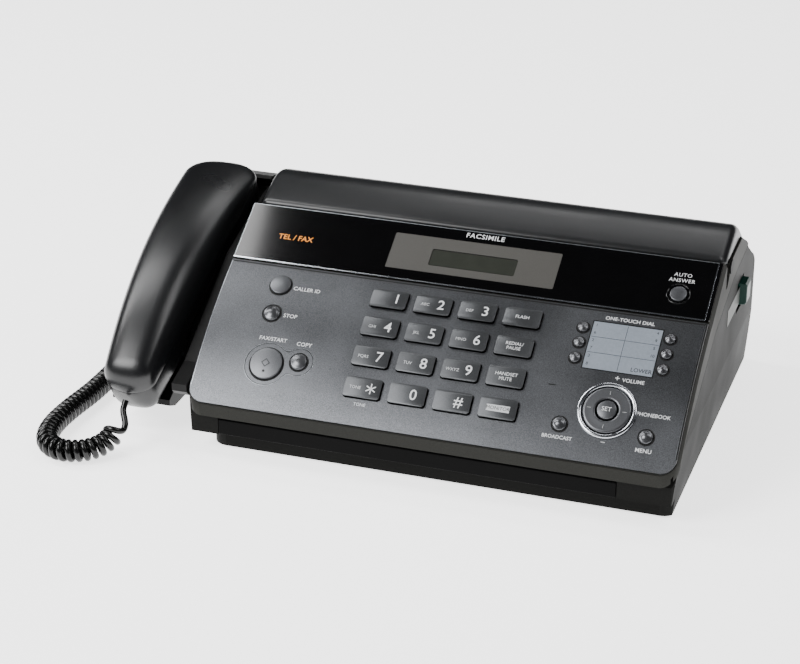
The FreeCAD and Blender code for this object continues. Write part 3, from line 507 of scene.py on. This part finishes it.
# marks on the navigation rocker and the start button
NAV_X, NAV_ARC = 97.7, 30.7
plate_sheet("volume_minus", NAV_X + 0.2, NAV_X + 2.6, NAV_ARC - 18.5, NAV_ARC - 18.0, "ink", 0.04, 0.05, 1)
TICK = [(-0.1, -1.1), (0.1, -1.1), (0.1, 1.1), (-0.1, 1.1)]
for i in range(4):
    spot = plate_place(NAV_X, NAV_ARC, BUTTON_RISE + 0.03) @ Matrix.Rotation(math.pi / 2 * i, 4, "Z")
    spot = spot @ Matrix.Translation((0, 9.9 * MM, 0.05 * MM))
    flat_shape("legend_rocker", TICK, spot, "dim_ink", "nav_rocker")
write("legend_set", "SET", plate_place(NAV_X, NAV_ARC, KEY_RISE + 0.5), 2.6, "ink", "nav_set_button")
DIAMOND_OUT, DIAMOND_WIDTH = 2.6, 0.6
for i in range(4):
    spot = plate_place(START_X, START_ARC, BUTTON_RISE + 0.66) @ Matrix.Rotation(math.pi / 2 * i, 4, "Z")
    diamond_in = DIAMOND_OUT - DIAMOND_WIDTH
    side = [(0, DIAMOND_OUT), (0, diamond_in), (diamond_in, 0), (DIAMOND_OUT, 0)]
    flat_shape("legend_start", side, spot, "dark", "start_button")
write("legend_copy", "C", plate_place(COPY_X, COPY_ARC, BUTTON_RISE + 0.75), 2.2, "dark", "copy_button")
flat_shape("legend_start", circle_points(0.75), plate_place(START_X, START_ARC - 5.0, BUTTON_RISE + 0.52),
           "dark", "start_button")
# microphone slot: a flat dark sheet, painted shade in place of the opening
plate_sheet("mic_slot_shade", 62.5, 66.6, 40.9, 41.6, "dark", 0.03, 0.05, 1)

# display: glass in the surround, with dark strips round its inside edge as painted shade
GLASS_X, GLASS_LOW, GLASS_HIGH = 25.6, 12.4, 24.0


def bezel_slab(name, x0, x1, low, high, top, thick, finish_name, soft=0.15):
    """A soft-edged bar on the bezel, from x0 to x1 and low to high up the slope."""
    bm = bmesh.new()
    bmesh.ops.create_cube(bm, size=1.0)
    bm.transform(Matrix.Diagonal(((x1 - x0) * MM, (high - low) * MM, thick * MM, 1)))
    bm.transform(Matrix.Translation((0, 0, -thick / 2 * MM)))
    bm.transform(bezel_place((x0 + x1) / 2, (low + high) / 2, top))
    bmesh.ops.bevel(bm, geom=bm.edges[:], offset=soft * MM, segments=2, affect="EDGES")
    return mesh_piece(name, bm, finish_name, smooth=False)


bezel_slab("display_glass", -GLASS_X + 0.4, GLASS_X + 0.2, GLASS_LOW + 0.2, GLASS_HIGH - 0.2, -0.75, 0.4,
           "glass")
# dark strips inside the window edge, widest at the top and left: painted shade
for i, (x0, x1, low, high) in enumerate(((-26.4, 26.6, 11.6, 12.0), (-26.4, 26.6, 24.0, 25.2),
                                         (-26.4, -25.4, 12.0, 24.0), (26.2, 26.6, 12.0, 24.0))):
    bezel_slab("display_window_shade_%d" % (i + 1), x0, x1, low, high, -0.5, 0.2, "dark", 0.04)

# trim: a bright strip in front of the bezel, an inset line on its right and fine lines at its left and top;
# along the plate's edges, painted shade and painted highlight lines
front_trim = bezel_slab("trim_front", -140.6, 138.4, -0.5, 0.4, 0.35, 0.8, "chrome", 0.2)
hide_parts("trim_strips")
bezel_slab("trim_right", 137.9, 138.45, 0.2, 38.8, 0.14, 0.3, "chrome", 0.08)
bezel_slab("trim_left", -140.6, -140.1, 0.2, 39.4, 0.14, 0.3, "trim", 0.08)
bezel_slab("trim_top", -140.4, 138.4, 39.2, 39.65, 0.1, 0.3, "trim", 0.06)
# plate edges: dark strips are painted shade in the gaps, the satin strips are painted highlights on the
# bevels
plate_sheet("edge_shade_and_highlight_lines", -140.3, 140.3, 91.9, 92.9, "dark", 0.04, 0.06, 1)
for x, width, finish_name in ((-140.25, 0.35, "trim"), (139.3, 0.35, "trim"), (139.75, 0.75, "dark")):
    plate_sheet("edge_shade_and_highlight_lines", x, x + width, 9.0, 92.4, finish_name, 0.05, 0.1, 24)


# ---------------------------------------------------------------- turned buttons
def turned(name, place, profile, finish_name, body, closed=False, sides=64):
    """A piece of revolution about the spot's local Z, from (radius, height) pairs in millimetres."""
    bm = bmesh.new()
    angles = [2 * math.pi * k / sides for k in range(sides)]
    rings = []
    for r, z in profile:
        if r < 1e-6:
            rings.append([bm.verts.new((0, 0, z * MM))])
            continue
        rings.append([bm.verts.new((r * MM * math.cos(angle), r * MM * math.sin(angle), z * MM))
                      for angle in angles])
    pairs = list(zip(rings, rings[1:])) + ([(rings[-1], rings[0])] if closed else [])
    for a, b in pairs:
        for k in range(sides):
            corners = [a[k % len(a)], a[(k + 1) % len(a)], b[(k + 1) % len(b)], b[k % len(b)]]
            bm.faces.new(list(dict.fromkeys(corners)))
    if not closed and len(rings[0]) > 1:
        bm.faces.new(rings[0])
    bmesh.ops.recalc_face_normals(bm, faces=bm.faces)
    bm.transform(place)
    piece = mesh_piece(name, bm, finish_name, body)
    split = piece.modifiers.new("edges", "EDGE_SPLIT")
    split.split_angle = math.radians(50)
    return piece


def dome(radius, rise, crown, shoulder):
    """Profile of a push button: shank, rounded shoulder and a crowned top."""
    edge, flat = radius - 0.05, radius - 0.05 - shoulder
    profile = [(edge, -4.0), (edge, rise - shoulder)]
    for i in range(1, 7):
        a = math.pi / 2 * i / 6
        profile.append((flat + shoulder * math.cos(a), rise - shoulder + shoulder * math.sin(a)))
    for i in range(1, 9):
        r = flat * (1 - i / 8)
        profile.append((r, rise + crown * (1 - (r / flat) ** 2)))
    return profile


ROUND_BUTTONS = {    # node: x, arc, radius, crown, shoulder, finish
    "caller_id_button": (-105.8, 79.3, 6.2, 0.4, 0.5, "button"),
    "stop_button": (-105.2, 59.9, 5.0, 0.9, 1.1, "gloss_button"),
    "start_button": (START_X, START_ARC, 9.6, 0.6, 0.6, "button"),
    "copy_button": (COPY_X, COPY_ARC, 5.0, 0.7, 1.1, "gloss_button"),
    "broadcast_button": (73.7, 19.1, 4.0, 0.9, 1.0, "gloss_button"),
    "menu_button": (121.7, 18.9, 4.0, 0.9, 1.0, "gloss_button"),
}
for i in range(6):
    ROUND_BUTTONS["one_touch_button_%d" % (i + 1)] = (
        73.3 if i < 3 else 122.4, 79.6 - 10.0 * (i % 3), 3.2, 0.7, 0.9, "gloss_button")
for node_name, (x, arc, radius, crown, shoulder, finish_name) in ROUND_BUTTONS.items():
    piece = turned(node_name + "_cap", plate_place(x, arc), dome(radius, BUTTON_RISE, crown, shoulder),
                   finish_name, node_name)
    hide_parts(node_name)
    # dark ring round each button, shifted down and to the right: painted shade in the gap round the button
    plate_ring("button_shade_rings", x + 0.12, arc - 0.2, radius + 0.42, 0.85, "dark")

# navigation: a dished rocker, the domed set button and a rounded chrome ring
nav_spot = plate_place(NAV_X, NAV_ARC)
rocker_profile = [(6.5, -4.0), (6.5, 0.9), (6.8, 1.2), (7.6, 1.25), (9.6, 1.0), (11.8, 1.15), (12.7, 1.1),
                  (13.2, 0.8), (13.4, 0.3), (13.4, -4.0)]
rocker_cap = turned("nav_rocker_cap", nav_spot, rocker_profile, "button", "nav_rocker", True)
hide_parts("nav_rocker")
set_cap = turned("nav_set_cap", nav_spot, dome(5.5, KEY_RISE, 0.45, 0.6), "button", "nav_set_button")
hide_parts("nav_set_button")
RING_MIDDLE, RING_HALF, RING_RISE = 15.25, 1.25, 1.15
ring_profile = [(RING_MIDDLE - RING_HALF, -0.6)]
for i in range(13):
    a = math.pi * (1 - i / 12)
    ring_profile.append((RING_MIDDLE + RING_HALF * math.cos(a), RING_RISE * math.sin(a) ** 0.8))
ring_profile.append((RING_MIDDLE + RING_HALF, -0.6))
chrome_ring = turned("nav_chrome_ring", nav_spot, ring_profile, "chrome", "machine", True, 96)
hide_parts("nav_ring")

# answer button on the bezel, in a thin raised ring
answer_spot = bezel_place(120.2, 15.1)
answer_cap = turned("answer_cap", answer_spot, dome(4.9, 0.8, 0.3, 0.5), "button", "auto_answer_button")
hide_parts("auto_answer_button")
ANSWER_RING, RING_HALF_WIDTH, RING_HALF_HEIGHT = 6.5, 0.45, 0.35
answer_ring = []
for i in range(10):
    angle = 2 * math.pi * i / 10
    answer_ring.append((ANSWER_RING + RING_HALF_WIDTH * math.cos(angle), RING_HALF_HEIGHT * math.sin(angle)))
turned("answer_ring", answer_spot, answer_ring, "bezel", "machine", True)

# side label: a blank pale strip on the right wall
label_bm = bmesh.new()
bmesh.ops.create_cube(label_bm, size=1.0)
label_bm.transform(Matrix.Diagonal((0.3 * MM, 36.0 * MM, 10.0 * MM, 1)))
label_bm.transform(Matrix.Translation(machine(142.05, 144.0, 68.5)))
mesh_piece("side_label", label_bm, "label", smooth=False)


# ---------------------------------------------------------------- back of the case
def back_place(x, z, rise=0.03):
    """Matrix of a spot on the back wall, its local Z pointing out of the wall."""
    best = None
    for node in (NODES["upper_case"], NODES["lower_case"]):
        inverse = node.matrix_world.inverted()
        start, end = machine(x, 300.0, z), machine(x, 120.0, z)
        origin = inverse @ start
        hit, spot, normal, _ = node.ray_cast(origin, (inverse @ end - origin).normalized())
        if hit and (best is None or (node.matrix_world @ spot).y > best[0].y):
            best = (node.matrix_world @ spot, (node.matrix_world.to_3x3() @ normal).normalized())
    spot, out = best
    side = Vector((-1, 0, 0))
    turn = Matrix((side, out.cross(side).normalized(), out)).transposed().to_4x4()
    return Matrix.Translation(spot + out * rise * MM) @ turn


def rectangle(width, height):
    """Corners of a centred rectangle."""
    x, y = width / 2, height / 2
    return [(-x, -y), (x, -y), (x, y), (-x, y)]


flat_shape("rating_label", rectangle(58.0, 24.0), back_place(40.0, 42.0), "label")
for i in range(4):
    line = rectangle(48.0 - 9.0 * (i % 2), 0.8)
    flat_shape("rating_label", line, back_place(40.0, 49.0 - 4.6 * i, 0.1), "dark")
# vent slots: flat dark bars, painted shade in place of openings
for i in range(9):
    flat_shape("vent_slot_shade", rectangle(22.0, 1.5), back_place(104.0, 34.0 + 4.0 * i), "dark")
write("jack_legends", "LINE", back_place(-90.2, 34.5, 0.05), 2.6, "dim_ink")
write("jack_legends", "EXT", back_place(-66.2, 34.5, 0.05), 2.6, "dim_ink")

# ---------------------------------------------------------------- handset
HANDSET_SLOPE = math.radians(26.5)
HANDSET_FRAME = Matrix.Translation(machine(-177.0, -3.0, 44.0)) @ Matrix.Rotation(HANDSET_SLOPE, 4, "X")
HAND_START, HAND_END, HAND_SEAM, SEAM_ARCH = -4.75, 175.2, -11.5, 5.1
MOUTH_LEVEL, GRIP_LEVEL, EAR_LEVEL = -31.8, -20.6, -29.3
STATIONS = (5.0, 85.0, 165.0)


def smooth(low, high, value):
    t = max(0.0, min(1.0, (value - low) / (high - low)))
    return t * t * (3 - 2 * t)


def through(w, low, middle, high):
    """Parabola through three values at the handset's mouth, grip and ear stations."""
    a, b, c = STATIONS
    return (low * (w - b) * (w - c) / ((a - b) * (a - c)) + middle * (w - a) * (w - c) / ((b - a) * (b - c))
            + high * (w - a) * (w - b) / ((c - a) * (c - b)))


def end_round(w, start_reach, end_reach, power):
    """1 along the handset, falling to 0 at each end within the given reach."""
    gap = min((w - HAND_START) / start_reach, (HAND_END - w) / end_reach, 1.0)
    return max(0.0, 1 - (1 - gap) ** power) ** (1 / power)


def hand_width(w):
    return through(w, 15.6, 21.6, 23.2) * end_round(w, 9.5, 15.4, 2.1)


def hand_seam(w):
    t = (w - HAND_START) / (HAND_END - HAND_START)
    return HAND_SEAM + SEAM_ARCH * 4 * t * (1 - t)


def hand_top(w):
    return hand_seam(w) + through(w, 14.4, 20.2, 6.8) * end_round(w, 13.2, 8.0, 2.4)


def hand_bottom(w):
    level = GRIP_LEVEL + (MOUTH_LEVEL - GRIP_LEVEL) * (1 - smooth(38, 54, w))
    level += (EAR_LEVEL - GRIP_LEVEL) * smooth(111, 125, w)
    return hand_seam(w) + (level - hand_seam(w)) * end_round(w, 9.0, 7.0, 2.6)


def half_shell(name, height, shrink, power, gap):
    """One shell of the handset: rings of a rounded arch from seam to seam along the handset."""
    stations, count = [], 96
    for i in range(count + 1):
        t = i / count
        eased = 0.5 - 0.5 * math.cos(math.pi * t)
        stations.append(HAND_START + 0.02 + (HAND_END - HAND_START - 0.04) * (0.35 * t + 0.65 * eased))
    arch = 30
    bm = bmesh.new()
    rings = []
    for w in stations:
        half, peak = max(0.3, hand_width(w) - shrink), height(w)
        ring = []
        for k in range(arch + 1):
            angle = math.pi * k / arch
            c, s = math.cos(angle), math.sin(angle)
            x = half * math.copysign(abs(c) ** (2 / power), c)
            seam = hand_seam(w) + gap
            n = seam + (peak - seam) * abs(s) ** (2 / power)
            ring.append(bm.verts.new((x * MM, w * MM, n * MM)))
        rings.append(ring)
    for a, b in zip(rings, rings[1:]):
        for k in range(arch):
            bm.faces.new((a[k], a[k + 1], b[k + 1], b[k]))
        bm.faces.new((a[arch], a[0], b[0], b[arch]))
    bm.faces.new(rings[0])
    bm.faces.new(rings[-1][::-1])
    bmesh.ops.recalc_face_normals(bm, faces=bm.faces)
    bm.transform(HANDSET_FRAME)
    piece = mesh_piece(name, bm, "handset", "handset")
    edge = piece.modifiers.new("edge", "BEVEL")
    edge.width, edge.segments, edge.limit_method, edge.angle_limit = 0.5 * MM, 3, "ANGLE", math.radians(50)
    return piece


top_shell = half_shell("handset_top", hand_top, 0.0, 3.0, 0.2)
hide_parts("handset_top_shell")
bottom_shell = half_shell("handset_bottom", hand_bottom, 0.6, 4.0, -0.2)
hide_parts("handset_bottom_shell")
EAR_W, MOUTH_W = 145.0, 26.0
holes = [(0.0, EAR_W, EAR_LEVEL)]
holes += [(x, EAR_W + y, EAR_LEVEL) for x, y in circle_points(5.0, 8)]
holes += [(x, MOUTH_W, MOUTH_LEVEL) for x in (-4.0, 0.0, 4.0)]
# ear and mouth holes: flat dark discs, painted shade in place of openings
for x, w, n in holes:
    hole = HANDSET_FRAME @ Matrix.Translation((x * MM, w * MM, n * MM))
    flat_shape("sound_hole_shade", circle_points(1.0), hole, "dark", "handset")


for group, (bm, body, finishes) in LEGENDS.items():
    piece = mesh_piece(group, bm, finishes[0], body, smooth=False)
    for extra in finishes[1:]:
        piece.data.materials.append(MATERIALS[extra])


# ---------------------------------------------------------------- paper cover
COVER_HALF, COVER_ROUND, COVER_WALL = 140.7, 5.0, 2.2
COVER_PROFILE = [(118.0, 104.6), (117.9, 106.6), (118.8, 108.2), (121.0, 109.3), (128.0, 112.2),
                 (135.0, 114.9), (139.0, 116.3), (143.0, 117.2), (147.0, 117.4), (151.0, 116.7),
                 (155.0, 115.2), (159.0, 112.9), (165.0, 108.4), (171.0, 103.7), (177.0, 98.7), (181.0, 95.3)]


def cover_skin(inset):
    """The cover's outline pulled in by inset, as (y, z) points."""
    points = []
    for i, (y, z) in enumerate(COVER_PROFILE):
        (y0, z0), (y1, z1) = COVER_PROFILE[max(0, i - 1)], COVER_PROFILE[min(len(COVER_PROFILE) - 1, i + 1)]
        length = math.hypot(y1 - y0, z1 - z0)
        ny, nz = -(z1 - z0) / length, (y1 - y0) / length
        points.append((y - ny * inset, z - nz * inset))
    return points


cover_bm = bmesh.new()
sections = []
for x_side in (-1, 1):
    steps = [(COVER_ROUND * (1 - math.cos(a)), COVER_ROUND * math.sin(a))
             for a in (math.pi / 2 * k / 6 for k in range(7))]
    row = [(x_side * (COVER_HALF - COVER_ROUND + reach), inset) for inset, reach in steps]
    sections.append(row)
outer_rows = sections[0][::-1] + sections[1]
rings = []
for x, inset in outer_rows:
    rings.append([cover_bm.verts.new(machine(x, y, z)) for y, z in cover_skin(inset)])
skirt = [(118.2, 104.0), (121.6, 104.4), (124.0, 105.6), (158.2, 106.9), (173.6, 98.8), (180.6, 95.0)]
for a, b in zip(rings, rings[1:]):
    for k in range(len(COVER_PROFILE) - 1):
        cover_bm.faces.new((a[k], a[k + 1], b[k + 1], b[k]))
lining = [[cover_bm.verts.new(machine(x, y, z)) for y, z in cover_skin(COVER_WALL)]
          for x in (-COVER_HALF + COVER_WALL, COVER_HALF - COVER_WALL)]
for k in range(len(COVER_PROFILE) - 1):
    cover_bm.faces.new((lining[0][k], lining[1][k], lining[1][k + 1], lining[0][k + 1]))
cover_bm.faces.new((rings[0][0], *[r[0] for r in rings[1:]], lining[1][0], lining[0][0]))
last = len(COVER_PROFILE) - 1
cover_bm.faces.new((*[r[last] for r in rings][::-1], lining[0][last], lining[1][last]))
for ring, line, x, sign in ((rings[0], lining[0], -COVER_HALF, -1), (rings[-1], lining[1], COVER_HALF, 1)):
    low_out = [cover_bm.verts.new(machine(x, y, z)) for y, z in skirt]
    low_in = [cover_bm.verts.new(machine(x - sign * COVER_WALL, y, z)) for y, z in skirt]
    cover_bm.faces.new([*ring, *low_out[::-1]])
    cover_bm.faces.new([*line[::-1], *low_in])
    for k in range(len(skirt) - 1):
        cover_bm.faces.new((low_out[k], low_out[k + 1], low_in[k + 1], low_in[k]))
ear = [(116.6, 101.0), (118.2, 95.6), (122.0, 91.8), (127.0, 90.6), (132.0, 91.8), (135.8, 95.6),
       (137.4, 101.0), (137.4, 113.4), (119.4, 106.4)]     # hinge lug under each end of the cover
for x0, x1 in ((-139.2, -135.6), (135.6, 139.2)):
    near, far = ([cover_bm.verts.new(machine(x, y, z)) for y, z in ear] for x in (x0, x1))
    cover_bm.faces.new(near)
    cover_bm.faces.new(far[::-1])
    for k in range(len(ear)):
        cover_bm.faces.new((near[k], near[k - 1], far[k - 1], far[k]))
bmesh.ops.remove_doubles(cover_bm, verts=cover_bm.verts, dist=1e-7)
bmesh.ops.recalc_face_normals(cover_bm, faces=cover_bm.faces)
cover_piece = mesh_piece("paper_cover_shell", cover_bm, "cover", "paper_cover")
cover_piece.modifiers.new("edges", "EDGE_SPLIT").split_angle = math.radians(50)
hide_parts("paper_cover")

# ---------------------------------------------------------------- curly cord
CORD_ROUTE = [(-177.0, -3.0, 27.0), (-177.0, -10.0, 20.0), (-179.5, -20.0, 9.5), (-188.0, -31.0, 7.0),
              (-203.0, -36.5, 7.0), (-216.0, -29.0, 7.0), (-221.5, -12.0, 7.0), (-221.0, 11.0, 7.0),
              (-217.5, 36.0, 7.0), (-216.8, 58.0, 7.2), (-215.0, 76.0, 8.8), (-210.0, 88.0, 12.5),
              (-202.5, 94.0, 17.0)]
WIRE_RADIUS, COIL_RADIUS, COIL_PITCH = 1.9, 4.75, 4.15
TAIL = 14.0
STEPS_PER_TURN = 22


def nurbs_line(points, name):
    """The smooth line of a route, as points in metres, 1 mm or less apart."""
    curve = bpy.data.curves.new(name, "CURVE")
    curve.dimensions = "3D"
    spline = curve.splines.new("NURBS")
    spline.points.add(len(points) - 1)
    for point, place in zip(spline.points, points):
        point.co = (*machine(*place), 1.0)
    spline.order_u = 3
    spline.use_endpoint_u = True
    curve.resolution_u = 48
    obj = link(bpy.data.objects.new(name, curve))
    bpy.context.view_layer.update()
    data = bpy.data.meshes.new_from_object(obj)
    line = [v.co.copy() for v in data.vertices]
    bpy.data.objects.remove(obj)
    return line


def along(line):
    """Arc lengths of a line's points."""
    lengths = [0.0]
    for a, b in zip(line, line[1:]):
        lengths.append(lengths[-1] + (b - a).length)
    return lengths


def coil(line):
    """Helix of the curly cord round its route, straight for a short tail at each end."""
    lengths = along(line)
    total = lengths[-1]
    frames, side = [], Vector((1, 0, 0))
    for i in range(len(line)):
        ahead = (line[min(i + 1, len(line) - 1)] - line[max(i - 1, 0)]).normalized()
        side = (side - ahead * side.dot(ahead)).normalized()
        frames.append((side, ahead.cross(side)))
    turns = (total - 2 * TAIL * MM) / (COIL_PITCH * MM)
    count = int(turns * STEPS_PER_TURN) + 60
    points, k, angle = [], 0, 0.0
    for step in range(count + 1):
        s = total * step / count
        while k < len(line) - 2 and lengths[k + 1] < s:
            k += 1
        t = (s - lengths[k]) / max(1e-9, lengths[k + 1] - lengths[k])
        centre = line[k].lerp(line[k + 1], t)
        u = frames[k][0].lerp(frames[k + 1][0], t).normalized()
        v = frames[k][1].lerp(frames[k + 1][1], t).normalized()
        inside = min(s, total - s) / MM - TAIL * 0.3
        reach = max(0.0, min(1.0, inside / (TAIL * 0.8)))
        reach = reach * reach * (3 - 2 * reach)
        rate = max(0.0, min(1.0, (inside - TAIL * 0.8) / (TAIL * 0.5)))
        angle += rate * rate * (3 - 2 * rate) * 2 * math.pi * total / count / (COIL_PITCH * MM)
        points.append(centre + (u * math.cos(angle) + v * math.sin(angle)) * COIL_RADIUS * MM * reach)
    return points


def tube_mesh(points, radius, sides=10):
    bm = bmesh.new()
    side, rings = Vector((0.3, 0.2, 1)).normalized(), []
    for i, point in enumerate(points):
        ahead = (points[min(i + 1, len(points) - 1)] - points[max(i - 1, 0)]).normalized()
        side = (side - ahead * side.dot(ahead)).normalized()
        other = ahead.cross(side)
        rings.append([bm.verts.new(point + (side * math.cos(a) + other * math.sin(a)) * radius)
                      for a in (2 * math.pi * k / sides for k in range(sides))])
    for a, b in zip(rings, rings[1:]):
        for k in range(sides):
            bm.faces.new((a[k], a[(k + 1) % sides], b[(k + 1) % sides], b[k]))
    bm.faces.new(rings[0][::-1])
    bm.faces.new(rings[-1])
    return bm


cord_line = coil(nurbs_line(CORD_ROUTE, "cord_route"))
cord_bm = tube_mesh(cord_line, WIRE_RADIUS * MM)
cord_data = bpy.data.meshes.new("curly_cord")
cord_bm.to_mesh(cord_data)
cord_bm.free()
cord_piece = link(bpy.data.objects.new("curly_cord", cord_data))
cord_data.materials.append(MATERIALS["cord"])
for polygon in cord_data.polygons:
    polygon.use_smooth = True
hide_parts("handset_cord")
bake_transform(cord_piece)

# ---------------------------------------------------------------- stage and light
FLOOR_HALF, FLOOR_GLOW, SKY_GLOW = 6.0, 2.2, 0.05
LIGHT_TARGET = Vector((0, 0, 0.05))
bm = bmesh.new()
bmesh.ops.create_grid(bm, x_segments=1, y_segments=1, size=FLOOR_HALF)
floor_data = bpy.data.meshes.new("floor")
bm.to_mesh(floor_data)
bm.free()
floor = link(bpy.data.objects.new("floor", floor_data))
floor_material = bpy.data.materials.new("floor")
floor_material.use_nodes = True
floor_shader = floor_material.node_tree.nodes["Principled BSDF"]
floor_shader.inputs["Base Color"].default_value = (0.86, 0.86, 0.86, 1)
floor_shader.inputs["Emission Color"].default_value = (1, 1, 1, 1)
floor_shader.inputs["Emission Strength"].default_value = FLOOR_GLOW
floor_shader.inputs["Roughness"].default_value = 0.9
floor_data.materials.append(floor_material)

world = bpy.data.worlds.new("world")
bpy.context.scene.world = world
world.use_nodes = True
world.node_tree.nodes["Background"].inputs["Color"].default_value = (0.93, 0.96, 1, 1)
world.node_tree.nodes["Background"].inputs["Strength"].default_value = SKY_GLOW


def soft_light(name, place, size, power):
    """A rectangular light that faces the machine."""
    data = bpy.data.lights.new(name, "AREA")
    data.shape = "RECTANGLE"
    data.size, data.size_y = size
    data.energy = power
    obj = link(bpy.data.objects.new(name, data))
    obj.location = Vector(place)
    obj.rotation_euler = (LIGHT_TARGET - Vector(place)).to_track_quat("-Z", "Y").to_euler()
    return obj


soft_light("front_light", (-0.85, -0.95, 1.15), (0.75, 0.75), 30)
soft_light("right_light", (0.85, -0.1, 1.5), (0.3, 1.2), 9)
soft_light("left_light", (-1.15, 0.1, 1.3), (0.3, 1.2), 17)
soft_light("cover_light", (0.1, 0.85, 1.5), (1.5, 0.26), 8)
